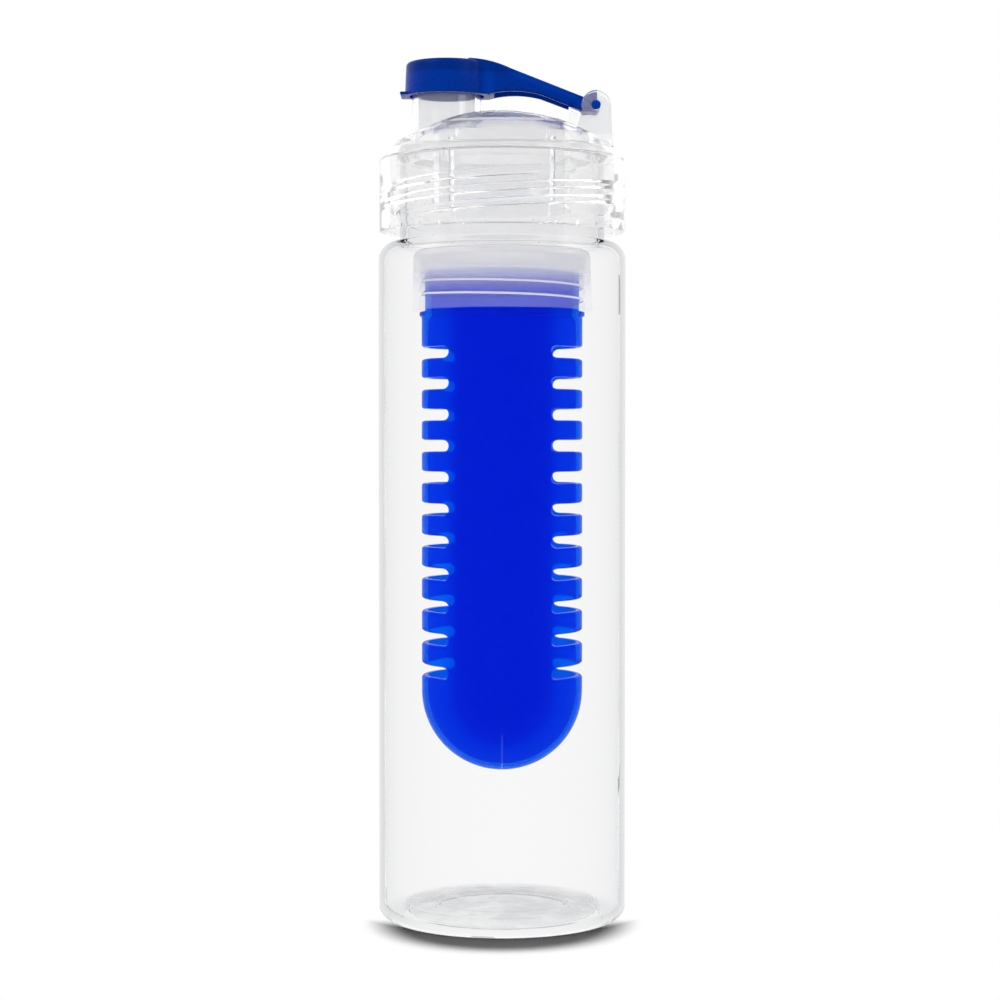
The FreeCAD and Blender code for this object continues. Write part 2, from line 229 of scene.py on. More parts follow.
class StageSizes(bpy.types.PropertyGroup):
    """Camera and floor"""
    distance: length("Camera distance", "Distance of the camera from the bottle's axis", 720.0)
    camera_height: length("Camera height", "Height of the camera", 143.0)
    aim_height: length("Aim height", "Height that the camera looks at", 123.9)
    aim_side: length("Aim side", "Sideways place that the camera looks at", -0.6)
    lens: FloatProperty(name="Lens", description="Focal length in millimetres", default=87.4)
    floor_radius: length("Floor radius", "Radius of the floor", 4000.0)


def deselect():
    if bpy.context.mode != "OBJECT":
        bpy.ops.object.mode_set(mode="OBJECT")
    bpy.ops.object.select_all(action="DESELECT")


def activate(piece):
    deselect()
    piece.select_set(True)
    bpy.context.view_layer.objects.active = piece


def arc(centre, radius, start, end, parts=ARC_PARTS):
    """Points of an arc in the half section, from start to end degrees."""
    points = []
    for number in range(parts + 1):
        angle = math.radians(start + (end - start) * number / parts)
        points.append((centre[0] + radius * math.cos(angle), centre[1] + radius * math.sin(angle)))
    return points


def rectangle(low_x, low_z, high_x, high_z):
    return [(low_x, low_z), (high_x, low_z), (high_x, high_z), (low_x, high_z)]


def spaced(points):
    """The outline without points that repeat the one before."""
    kept = []
    for point in points:
        if not kept or math.dist(point, kept[-1]) > MERGE * 10:
            kept.append(point)
    if math.dist(kept[0], kept[-1]) <= MERGE * 10:
        kept.pop()
    return kept


def outline_loop(name, points, y=0.0):
    """Closed chain of edges through points (x, z), shaped from a circle of as many vertices."""
    points = spaced(points)
    deselect()
    bpy.ops.mesh.primitive_circle_add(vertices=len(points), radius=1.0, fill_type="NOTHING")
    piece = bpy.context.object
    piece.name = piece.data.name = name
    for vertex, (x, z) in zip(piece.data.vertices, points):
        vertex.co = (x, y, z)
    return piece


def open_on_axis(piece):
    """Deletes the edge that lies on the axis, so that a spun piece has no skin there."""
    vertices = piece.data.vertices
    bpy.ops.object.mode_set(mode="EDIT")
    bpy.ops.mesh.select_mode(type="EDGE")
    bpy.ops.mesh.select_all(action="DESELECT")
    bpy.ops.object.mode_set(mode="OBJECT")
    for edge in piece.data.edges:
        edge.select = all(abs(vertices[index].co.x) < MERGE for index in edge.vertices)
    bpy.ops.object.mode_set(mode="EDIT")
    bpy.ops.mesh.delete(type="EDGE")
    bpy.ops.mesh.select_mode(type="VERT")


def edit_all():
    """Starts to edit the active piece, with all of it selected."""
    bpy.ops.object.mode_set(mode="EDIT")
    bpy.ops.mesh.select_all(action="SELECT")


def mend(merge=MERGE):
    """Merges the active piece's doubles and turns its faces outwards. Ends in object mode."""
    edit_all()
    bpy.ops.mesh.remove_doubles(threshold=merge)
    bpy.ops.mesh.dissolve_degenerate(threshold=merge)
    bpy.ops.mesh.select_all(action="SELECT")
    bpy.ops.mesh.normals_make_consistent(inside=False)
    bpy.ops.object.mode_set(mode="OBJECT")


def turned(name, points, x=0.0, sides=SIDES):
    """A piece turned about the bottle's axis, or about an upright axis at x, from its half section."""
    piece = outline_loop(name, points)
    open_on_axis(piece)
    bpy.ops.mesh.select_all(action="SELECT")
    bpy.ops.mesh.spin(steps=sides, angle=2 * math.pi, center=(0, 0, 0), axis=(0, 0, 1), use_auto_merge=True)
    mend()
    if x:
        piece.data.transform(Matrix.Translation((x, 0, 0)))
    return piece


def plate(name, points, low_y, high_y):
    """A flat piece with that outline (x, z), from low_y to high_y."""
    piece = outline_loop(name, points, low_y)
    edit_all()
    bpy.ops.mesh.edge_face_add()
    bpy.ops.mesh.extrude_region_move(TRANSFORM_OT_translate={"value": (0, high_y - low_y, 0)})
    mend()
    return piece


def apply_modifier(piece, kind, **settings):
    activate(piece)
    bpy.ops.object.modifier_add(type=kind)
    modifier = piece.modifiers[-1]
    for key, value in settings.items():
        setattr(modifier, key, value)
    bpy.ops.object.modifier_apply(modifier=modifier.name)


def combine(piece, other, operation):
    """Adds or cuts the other piece, which is used up."""
    apply_modifier(piece, "BOOLEAN", operation=operation, solver="EXACT", object=other)
    bpy.data.objects.remove(other)


def joined_pieces(pieces):
    """The pieces as one object, the first of them."""
    activate(pieces[0])
    for piece in pieces:
        piece.select_set(True)
    bpy.ops.object.join()
    return pieces[0]


def soften(piece, width, segments=2, angle=40):
    apply_modifier(piece, "BEVEL", width=width, segments=segments, limit_method="ANGLE",
                   angle_limit=math.radians(angle), harden_normals=False)


def add_thread(piece, wall_r, crest_r, low_z, pitch, starts, turns, root, hand=1):
    """Adds rounded thread ridges to a wall of radius wall_r, sunk into it, that run out at both ends."""
    parts = 10
    fullness = 0.8
    end_height = 0.2
    quarter = 0.25
    half_facet = 0.5 / SIDES
    outward = 1.0 if crest_r > wall_r else -1.0
    foot_r = wall_r - outward * SUNK
    section = []
    for number in range(parts + 1):
        lift = math.sin(math.pi * number / parts) ** fullness
        section.append((foot_r + (crest_r - foot_r) * lift, root * (number / parts - 0.5)))
    steps = int(SIDES * turns)
    run_out = SIDES // 6
    rise = pitch * starts * turns
    foot_z = low_z if hand > 0 else low_z + rise
    ridges = []
    for number in range(starts):
        ridge = outline_loop("ridge", section)
        apply_modifier(ridge, "SCREW", axis="Z", angle=2 * math.pi * turns, screw_offset=hand * rise,
                       steps=steps, render_steps=steps, use_merge_vertices=False)
        for index, vertex in enumerate(ridge.data.vertices):
            step = index // len(section)
            end = min(1.0, min(step, steps - step) / run_out)
            height = end_height + (1 - end_height) * math.sin(end * math.pi / 2)
            flat = vertex.co.xy.length
            vertex.co.xy *= (foot_r + (flat - foot_r) * height) / flat
        edit_all()
        bpy.ops.mesh.fill_holes(sides=0)
        mend()
        turn = Matrix.Rotation(2 * math.pi * (number / starts + quarter + half_facet), 4, "Z")
        ridge.data.transform(Matrix.Translation((0, 0, foot_z)) @ turn)
        ridges.append(ridge)
    for ridge in ridges:
        combine(piece, ridge, "UNION")


def finish(piece, body, node, material):
    """Smooths the piece, gives it its finish and hands it to its body in place of the frame's node."""
    activate(piece)
    mend(20 * MERGE)
    bpy.ops.object.shade_smooth_by_angle(angle=SHARP_ANGLE)
    piece.data.materials.clear()
    piece.data.materials.append(material)
    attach(piece, body)
    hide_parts(node)
    deselect()


def set_inputs(tree, node, values):
    """Gives the node's inputs those values. A value that is a socket is linked."""
    for key, value in values.items():
        if isinstance(value, bpy.types.NodeSocket):
            tree.links.new(value, node.inputs[key])
        else:
            node.inputs[key].default_value = value


def add_node(tree, kind, values=None, **settings):
    """New node with those settings and input values."""
    node = tree.nodes.new(kind)
    for key, value in settings.items():
        setattr(node, key, value)
    set_inputs(tree, node, values or {})
    return node


def rgba(tint):
    """The tint as an input's value. A tint that is a socket stays one."""
    return tint if isinstance(tint, bpy.types.NodeSocket) else (*tint, 1.0)


def grey(level):
    return (level, level, level, 1.0)


def smooth_step(tree, value, start, end, low, high):
    """Smooth change from low to high while the value goes from start to end."""
    span = {"Value": value, "From Min": start, "From Max": end, "To Min": low, "To Max": high}
    return add_node(tree, "ShaderNodeMapRange", span, interpolation_type="SMOOTHSTEP").outputs["Result"]


def math_node(tree, operation, first, second):
    """Result of an operation on two values, each a socket or a number."""
    return add_node(tree, "ShaderNodeMath", {0: first, 1: second}, operation=operation).outputs["Value"]


def vector_length(tree, vector):
    return add_node(tree, "ShaderNodeVectorMath", {0: vector}, operation="LENGTH").outputs["Value"]


def mixed(tree, first, second, amount):
    """Colour that goes from the first, a colour or a socket, to the second with the amount."""
    colours = {"Color1": rgba(first), "Color2": rgba(second), "Fac": amount}
    return add_node(tree, "ShaderNodeMixRGB", colours).outputs["Color"]


def mixed_shader(tree, first, second, amount):
    """Shader that goes from the first to the second with the amount."""
    return add_node(tree, "ShaderNodeMixShader", {0: amount, 1: first, 2: second}).outputs["Shader"]


def object_place(tree):
    """Place on the piece."""
    return add_node(tree, "ShaderNodeTexCoord").outputs["Object"]


def split(tree, vector):
    """The vector's X, Y and Z."""
    return add_node(tree, "ShaderNodeSeparateXYZ", {"Vector": vector}).outputs


def axis_distance(tree, x=0.0):
    """Distance from the bottle's axis, or from an upright axis at x."""
    level = {"Vector": object_place(tree), "Location": (-x, 0.0, 0.0), "Scale": (1.0, 1.0, 0.0)}
    return vector_length(tree, add_node(tree, "ShaderNodeMapping", level).outputs["Vector"])


def new_material(name, values):
    """Material with those values on its Principled shader."""
    material = bpy.data.materials.new(name)
    material.use_nodes = True
    tree = material.node_tree
    shader = tree.nodes["Principled BSDF"]
    set_inputs(tree, shader, values)
    return material, tree, shader


def retint(tree, tint):
    set_inputs(tree, tree.nodes["Principled BSDF"], {"Base Color": tint})


def moulded_waves(tree, scale, detail=2.0):
    """Waviness that moulding leaves in a piece, about 0.3 to 0.7."""
    waves = {"Vector": object_place(tree), "Scale": scale, "Detail": detail}
    return add_node(tree, "ShaderNodeTexNoise", waves).outputs["Fac"]


def moulded_bump(tree, shader, scale, strength, detail=2.0):
    """Faint waviness of the surface. Returns the waves."""
    waves = moulded_waves(tree, scale, detail)
    bump = add_node(tree, "ShaderNodeBump", {"Strength": strength, "Distance": BUMP, "Height": waves})
    set_inputs(tree, shader, {"Normal": bump.outputs["Normal"]})
    return waves


def varied_roughness(tree, shader, waves, low, high):
    """Roughness that drifts between low and high with the waves."""
    span = {"Value": waves, "From Min": 0.3, "From Max": 0.7, "To Min": low, "To Max": high}
    set_inputs(tree, shader, {"Roughness": add_node(tree, "ShaderNodeMapRange", span).outputs["Result"]})


def clear_plastic(name, tint, clarity, density, bend, coat):
    """Clear plastic that bends light little, with a glossy coat and a grey that deepens with thickness."""
    material, tree, shader = new_material(name, {
        "Base Color": rgba(tint),
        "Transmission Weight": clarity,
        "IOR": bend,
        "Coat Weight": coat,
        "Coat Roughness": 0.02,
    })
    varied_roughness(tree, shader, moulded_waves(tree, scale=40.0), low=0.0, high=0.02)
    depth = {"Color": rgba(DEEP_GREY), "Density": density}
    volume = add_node(tree, "ShaderNodeVolumeAbsorption", depth).outputs["Volume"]
    set_inputs(tree, tree.nodes["Material Output"], {"Volume": volume})
    return material


def painted_spout_shade(material, tint, shade_tint, spout_x, spout_r, ear_x, low_z):
    """Painted shade: deepens the tint of the spout and of the hinge ears, above low_z."""
    tree = material.node_tree
    place = split(tree, object_place(tree))
    spout_end = spout_r + 0.6 * MM
    spout = smooth_step(tree, axis_distance(tree, spout_x), spout_r, spout_end, 1.0, 0.0)
    ears = smooth_step(tree, place["X"], ear_x - BLEND, ear_x, 0.0, 1.0)
    above = smooth_step(tree, place["Z"], low_z, low_z + BLEND, 0.0, 1.0)
    amount = math_node(tree, "MULTIPLY", math_node(tree, "MAXIMUM", spout, ears), above)
    retint(tree, mixed(tree, tint, shade_tint, amount))


def cloud(material, tint, clouded, edge_r):
    """Uneven moulded clouds in the bottle's floor, inside edge_r."""
    tree = material.node_tree
    floor = smooth_step(tree, axis_distance(tree), edge_r - BLEND, edge_r, 1.0, 0.0)
    waves = moulded_waves(tree, scale=130.0, detail=3.0)
    spots = smooth_step(tree, waves, 0.4, 0.6, 0.1, 1.0)
    retint(tree, mixed(tree, tint, clouded, math_node(tree, "MULTIPLY", floor, spots)))


def basket_plastic(finishes, side_x, neck_z, ball_z, seam_z):
    """See-through blue, paler above neck_z, with a painted sheen beyond side_x and round the ball and a
    painted highlight along the seam below seam_z.
    """
    material, tree, shader = new_material("basket_blue", {
        "Transmission Weight": 0.85,
        "IOR": 1.04,
        "Specular IOR Level": 0.0,
        "Specular Tint": (0.05, 0.1, 0.4, 1.0),
    })
    varied_roughness(tree, shader, moulded_waves(tree, scale=70.0), low=0.0, high=0.05)
    side_blend = 3 * MM
    seam_half = 0.1 * MM
    place = split(tree, object_place(tree))
    height = place["Z"]
    beside = math_node(tree, "ABSOLUTE", place["X"], 0.0)
    sunk = math_node(tree, "MINIMUM", math_node(tree, "SUBTRACT", height, ball_z), 0.0)
    squares = [math_node(tree, "MULTIPLY", value, value) for value in (beside, sunk)]
    reach = math_node(tree, "POWER", math_node(tree, "ADD", *squares), 0.5)
    # Painted sheen on the slotted sides and round the ball.
    sides = smooth_step(tree, reach, side_x - side_blend, side_x + side_blend, 0.0, 1.0)
    neck = smooth_step(tree, height, neck_z, neck_z + BLEND, 0.0, 1.0)
    # Painted highlight along the seam, fading out upwards.
    thin = smooth_step(tree, beside, seam_half, 2 * seam_half, 1.0, 0.0)
    under = smooth_step(tree, height, seam_z - 2 * BLEND, seam_z, 0.7, 0.0)
    tint = mixed(tree, finishes.basket, finishes.basket_side_sheen, sides)
    tint = mixed(tree, tint, finishes.basket_neck, neck)
    retint(tree, mixed(tree, tint, finishes.basket_seam_highlight, math_node(tree, "MULTIPLY", thin, under)))
    return material


def cap_plastic(tint, roof_shade_tint, roof_z):
    """Satin see-through blue, with painted shade: a deeper tint above roof_z, in the thick roof, where less
    light passes through.
    """
    material, tree, shader = new_material("cap_blue", {
        "Transmission Weight": 0.45,
        "IOR": 1.5,
        "Specular IOR Level": 0.02,
        "Specular Tint": (0.05, 0.1, 0.3, 1.0),
    })
    height = split(tree, object_place(tree))["Z"]
    # Painted shade on the roof.
    roof = smooth_step(tree, height, roof_z - BLEND / 2, roof_z + BLEND / 2, 0.0, 1.0)
    retint(tree, mixed(tree, tint, roof_shade_tint, roof))
    waves = moulded_bump(tree, shader, scale=220.0, strength=0.06, detail=4.0)
    varied_roughness(tree, shader, waves, low=0.22, high=0.34)
    return material


def frosted_plastic(tint, low_z, milky_z, top_z, thread_r):
    """Milky plastic, clearer towards the cup's mouth but not on its thread, with a polished spigot."""
    material, tree, shader = new_material("frosted_collar", {
        "Base Color": rgba(tint),
        "IOR": 1.45,
        "Specular IOR Level": 0.2,
    })
    waves = moulded_bump(tree, shader, scale=120.0, strength=0.03)
    varied_roughness(tree, shader, waves, low=0.15, high=0.25)
    height = split(tree, object_place(tree))["Z"]
    thread_foot = thread_r - 0.3 * MM
    thread = smooth_step(tree, axis_distance(tree), thread_foot, thread_r, 0.8, 0.0)
    cup = smooth_step(tree, height, low_z, milky_z, 0.07, 0.65)
    cup = math_node(tree, "MAXIMUM", cup, thread)
    spigot = smooth_step(tree, height, top_z - 1.5 * MM, top_z + 0.5 * MM, 1.0, 0.05)
    set_inputs(tree, shader, {"Alpha": math_node(tree, "MINIMUM", cup, spigot)})
    return material


def silicone_rubber(tint):
    """Milky rubber that lets some light through."""
    material, tree, shader = new_material("silicone", {
        "Base Color": rgba(tint),
        "Transmission Weight": 0.95,
        "IOR": 1.41,
        "Alpha": 0.4,
    })
    waves = moulded_bump(tree, shader, scale=300.0, strength=0.08, detail=3.0)
    varied_roughness(tree, shader, waves, low=0.3, high=0.45)
    return material


def floor_outline(sizes, foot_in):
    """Underside of the floor from the axis to the foot: middle disc, step, dish and ring groove."""
    step = 0.45 * MM
    dish = 1.25 * MM
    edge = 1.0 * MM
    top = sizes.push_up
    disc = sizes.disc_radius
    groove = sizes.groove_radius
    return [(0.0, top), (disc, top - step), (disc + step, top - 2 * step), (groove - 3 * step, dish),
            (groove - 2 * step, dish + step), (groove, dish + step), (groove + step, edge), (foot_in, 0.0)]


class INFUSER_OT_bottle(bpy.types.Operator):
    """Model the clear bottle with its threaded neck"""
    bl_idname = "infuser.bottle"
    bl_label = "Bottle"

    def execute(self, context):
        sizes = context.scene.infuser_bottle
        thread = context.scene.infuser_thread
        radius = BOTTLE_HIGH[0]
        top = BOTTLE_HIGH[2]
        inside = radius - sizes.wall
        bore = sizes.neck_radius - sizes.neck_wall
        foot_out = radius - sizes.base_corner
        foot_in = foot_out - sizes.foot_width
        under = floor_outline(sizes, foot_in)
        over = [(r, z + sizes.floor) for r, z in reversed(under)]
        inner_corner = sizes.base_corner - sizes.wall
        shoulder = (radius - sizes.shoulder, sizes.body_height - sizes.shoulder)
        root = (sizes.neck_radius + sizes.neck_root, sizes.body_height + sizes.neck_root)
        rim = sizes.rim
        outline = under + [(foot_out, 0.0)]
        outline += arc((foot_out, sizes.base_corner), sizes.base_corner, -90, 0)
        outline += arc(shoulder, sizes.shoulder, 0, 90, parts=10)
        outline += arc(root, sizes.neck_root, -90, -180)
        outline += arc((sizes.neck_radius - rim, top - rim), rim, 0, 90)
        outline += arc((bore + rim, top - rim), rim, 90, 180)
        outline += [(bore, sizes.body_height - sizes.wall)]
        outline += arc(shoulder, inside - shoulder[0], 90, 0, parts=10)
        outline += arc((foot_out, sizes.floor + inner_corner), inner_corner, 0, -90)
        outline += over
        bottle = turned("bottle", outline)
        thread_low = LID_LOW[2] + 1.5 * MM
        add_thread(bottle, sizes.neck_radius, sizes.neck_radius + thread.depth, thread_low, thread.pitch,
                   thread.starts, turns=1.0, root=thread.root)
        finishes = context.scene.infuser_finish
        material = clear_plastic("clear_bottle", finishes.clear, clarity=1.0, density=32.0, bend=1.014,
                                 coat=0.04)
        cloud(material, finishes.clear, finishes.base, bore)
        finish(bottle, "bottle", "bottle_body", material)
        return {"FINISHED"}


class INFUSER_OT_gasket(bpy.types.Operator):
    """Model the silicone ring under the lid"""
    bl_idname = "infuser.gasket"
    bl_label = "Gasket"

    def execute(self, context):
        bottle = context.scene.infuser_bottle
        inner = bottle.neck_radius - bottle.neck_wall
        outer = GASKET_HIGH[0]
        low = GASKET_LOW[2]
        high = GASKET_HIGH[2]
        edge = 0.35 * MM
        outline = arc((inner + edge, low + edge), edge, 180, 270)
        outline += arc((outer - edge, low + edge), edge, -90, 0)
        outline += arc((outer - edge, high - edge), edge, 0, 90)
        outline += arc((inner + edge, high - edge), edge, 90, 180)
        gasket = turned("gasket", outline)
        material = silicone_rubber(context.scene.infuser_finish.silicone)
        finish(gasket, "seal", "lid_gasket", material)
        return {"FINISHED"}


# The spout's bore and the socket's slits end this far above the collar.
ABOVE_COLLAR = 1.0 * MM


class INFUSER_OT_lid(bpy.types.Operator):
    """Model the clear lid with dome, spout, hinge ears, socket and thread"""
    bl_idname = "infuser.lid"
    bl_label = "Lid"

    def execute(self, context):
        sizes = context.scene.infuser_lid
        thread = context.scene.infuser_thread
        bottle = context.scene.infuser_bottle
        low = LID_LOW[2]
        radius = LID_HIGH[0]
        bore = radius - sizes.wall
        chamfer = (radius, low + sizes.skirt)
        edge = (radius - sizes.chamfer_width, chamfer[1] + sizes.chamfer_height)
        ball_r = (edge[0] ** 2 + sizes.dome_rise ** 2) / (2 * sizes.dome_rise)
        ball_z = edge[1] + sizes.dome_rise - ball_r
        seat = edge[1] - sizes.seat_roof
        lip = 0.5 * MM

        def ball(r, drop=0.0):
            return (r, ball_z + math.sqrt((ball_r - drop) ** 2 - r ** 2))

        rings = 14
        dome = [ball(edge[0] * (1 - number / rings)) for number in range(rings + 1)]
        outside = [(0.0, low), (bore, low)] + arc((radius - lip, low + lip), lip, -90, 0)
        outside += [chamfer] + dome
        lid = turned("lid", outside)

        spout_top = LID_HIGH[2]
        spout_x = -sizes.spout_offset
        round_lip = 0.8 * MM
        spout = [(0.0, edge[1]), (sizes.spout_radius, edge[1])]
        spout += arc((sizes.spout_radius - round_lip, spout_top - round_lip), round_lip, 0, 90)
        spout += [(0.0, spout_top)]
        combine(lid, turned("spout", spout, spout_x, SPOUT_SIDES), "UNION")
        for piece in self.hinge_pieces(sizes, seat, ball):
            combine(lid, piece, "UNION")

        play = 0.35 * MM
        keeper = bottle.neck_radius - bottle.neck_wall - play
        keeper_low = seat - sizes.keeper_height
        throat = keeper - sizes.keeper_wall
        seat_r = GASKET_HIGH[0] + play
        slope = (bore - seat_r) * sizes.chamfer_height / sizes.chamfer_width
        open_z = low - 5 * PAST
        hollow = [(0.0, open_z), (bore, open_z), (bore, seat - slope), (seat_r, seat), (keeper, seat),
                  (keeper, keeper_low), (throat, keeper_low)]
        hollow += [ball(throat * (1 - number / rings), sizes.dome_wall) for number in range(rings + 1)]
        combine(lid, turned("hollow", hollow), "DIFFERENCE")
        combine(lid, self.socket(sizes, low, ball), "UNION")
        bore_r = sizes.spout_radius - sizes.spout_wall
        way = rectangle(0.0, COLLAR_HIGH[2] + ABOVE_COLLAR, bore_r, spout_top + PAST)
        combine(lid, turned("way", way, spout_x, BORE_SIDES), "DIFFERENCE")
        for cutter in self.pin_holes(sizes) + [self.edge_marks(sizes, low, radius)]:
            combine(lid, cutter, "DIFFERENCE")
        thread_low = low + 4.0 * MM
        add_thread(lid, bore, bore - thread.depth, thread_low, thread.pitch, thread.starts, turns=0.95,
                   root=thread.root)
        finishes = context.scene.infuser_finish
        material = clear_plastic("clear_lid", finishes.lid, clarity=0.92, density=3.0, bend=1.2, coat=0.5)
        # Painted shade on the spout and the hinge ears.
        shade_low = edge[1] + 1.5 * MM
        painted_spout_shade(material, finishes.lid, finishes.spout, spout_x, sizes.spout_radius,
              HINGE[0] - sizes.ear_radius, shade_low)
        finish(lid, "lid", "lid_shell", material)
        return {"FINISHED"}

    def hinge_pieces(self, sizes, seat, ball):
        """Two ears flared towards the dome, and the block that the closed arm comes down on."""
        x, z = HINGE[0], HINGE[2]
        foot_left = x - sizes.ear_radius - 1.2 * MM
        foot_right = x + sizes.ear_radius + 0.8 * MM
        ear = arc((x, z), sizes.ear_radius, 0, 200, parts=20)
        ear += [(foot_left, ball(x - sizes.ear_radius)[1]), (foot_left, seat), (foot_right, seat)]
        pieces = []
        for side in (-1, 1):
            near, far = sorted((side * sizes.ear_inside, side * (sizes.ear_inside + sizes.ear)))
            piece = plate("ear", ear, near, far)
            soften(piece, width=0.45 * MM, segments=3)
            pieces.append(piece)
        cap = bpy.context.scene.infuser_cap
        right = x - cap.knuckle_radius - 0.5 * MM
        left = right - 3.5 * MM
        play = 0.3 * MM
        rest = [(left, seat), (right, seat), (right, arm_under(cap, right) - play),
                (left, arm_under(cap, left) - play)]
        block = plate("rest", rest, -cap.knuckle_width / 2, cap.knuckle_width / 2)
        soften(block, width=0.25 * MM)
        return pieces + [block]

    def pin_holes(self, sizes):
        """Hole through both ears, with a shallow ring round it on their outer faces."""
        centre = (HINGE[0], HINGE[2])
        face = sizes.ear_inside + sizes.ear
        through = 15 * MM
        ring_depth = 0.4 * MM
        ring_r = sizes.pin_hole + 0.45 * MM
        holes = [plate("hole", arc(centre, sizes.pin_hole, 0, 345, HOLE_PARTS), -through, through)]
        for side in (-1, 1):
            near, far = sorted((side * (face - ring_depth), side * (face + PAST)))
            holes.append(plate("ring", arc(centre, ring_r, 5, 350, HOLE_PARTS), near, far))
        return holes

    def edge_marks(self, sizes, low, radius):
        """Cutter for the short marks round the skirt's lower edge."""
        depth = 1.3 * MM
        half = 0.2 * MM
        first = 0.3
        outline = rectangle(radius - depth, low - PAST, radius + PAST, low + sizes.mark)
        marks = []
        for number in range(sizes.marks):
            mark = plate("mark", outline, -half, half)
            mark.data.transform(Matrix.Rotation(2 * math.pi * (number + first) / sizes.marks, 4, "Z"))
            marks.append(mark)
        return joined_pieces(marks)

    def socket(self, sizes, low, ball):
        """Ring under the dome with slits that let it grip the spigot."""
        outer = sizes.socket_radius + sizes.socket_wall
        top = ball(sizes.socket_radius, sizes.dome_wall)[1] + sizes.dome_wall / 4
        bottom = low + sizes.socket_lift
        ring = turned("socket", rectangle(sizes.socket_radius, bottom, outer, top))
        slits = 4
        outline = rectangle(sizes.socket_radius - PAST, bottom - PAST, outer + PAST,
                            COLLAR_HIGH[2] + ABOVE_COLLAR)
        for number in range(slits):
            slit = plate("slit", outline, -sizes.slit / 2, sizes.slit / 2)
            slit.data.transform(Matrix.Rotation(2 * math.pi / slits * (number + 0.5), 4, "Z"))
            combine(ring, slit, "DIFFERENCE")
        return ring


ARM_SLOPE = math.tan(math.radians(21.0))
ARM_ABOVE_PIN = 1.35 * MM
BELOW_PIN = 1.6 * MM


def arm_top(x):
    """Height of the straight part of the arm's top edge."""
    return HINGE[2] + ARM_ABOVE_PIN + ARM_SLOPE * (HINGE[0] - x)


def arm_under(cap, x):
    return arm_top(x) - cap.arm


def curve_through(start, middle, end, parts=12):
    """Points of the circle arc through three points."""
    (ax, az), (bx, bz), (cx, cz) = start, middle, end
    d = 2 * (ax * (bz - cz) + bx * (cz - az) + cx * (az - bz))
    a2, b2, c2 = ax * ax + az * az, bx * bx + bz * bz, cx * cx + cz * cz
    ox = (a2 * (bz - cz) + b2 * (cz - az) + c2 * (az - bz)) / d
    oz = (a2 * (cx - bx) + b2 * (ax - cx) + c2 * (bx - ax)) / d
    first = math.atan2(az - oz, ax - ox)
    last = math.atan2(cz - oz, cx - ox)
    turn = (last - first + math.pi) % (2 * math.pi) - math.pi
    radius = math.hypot(ax - ox, az - oz)
    angles = [first + turn * number / parts for number in range(parts + 1)]
    return [(ox + radius * math.cos(angle), oz + radius * math.sin(angle)) for angle in angles]


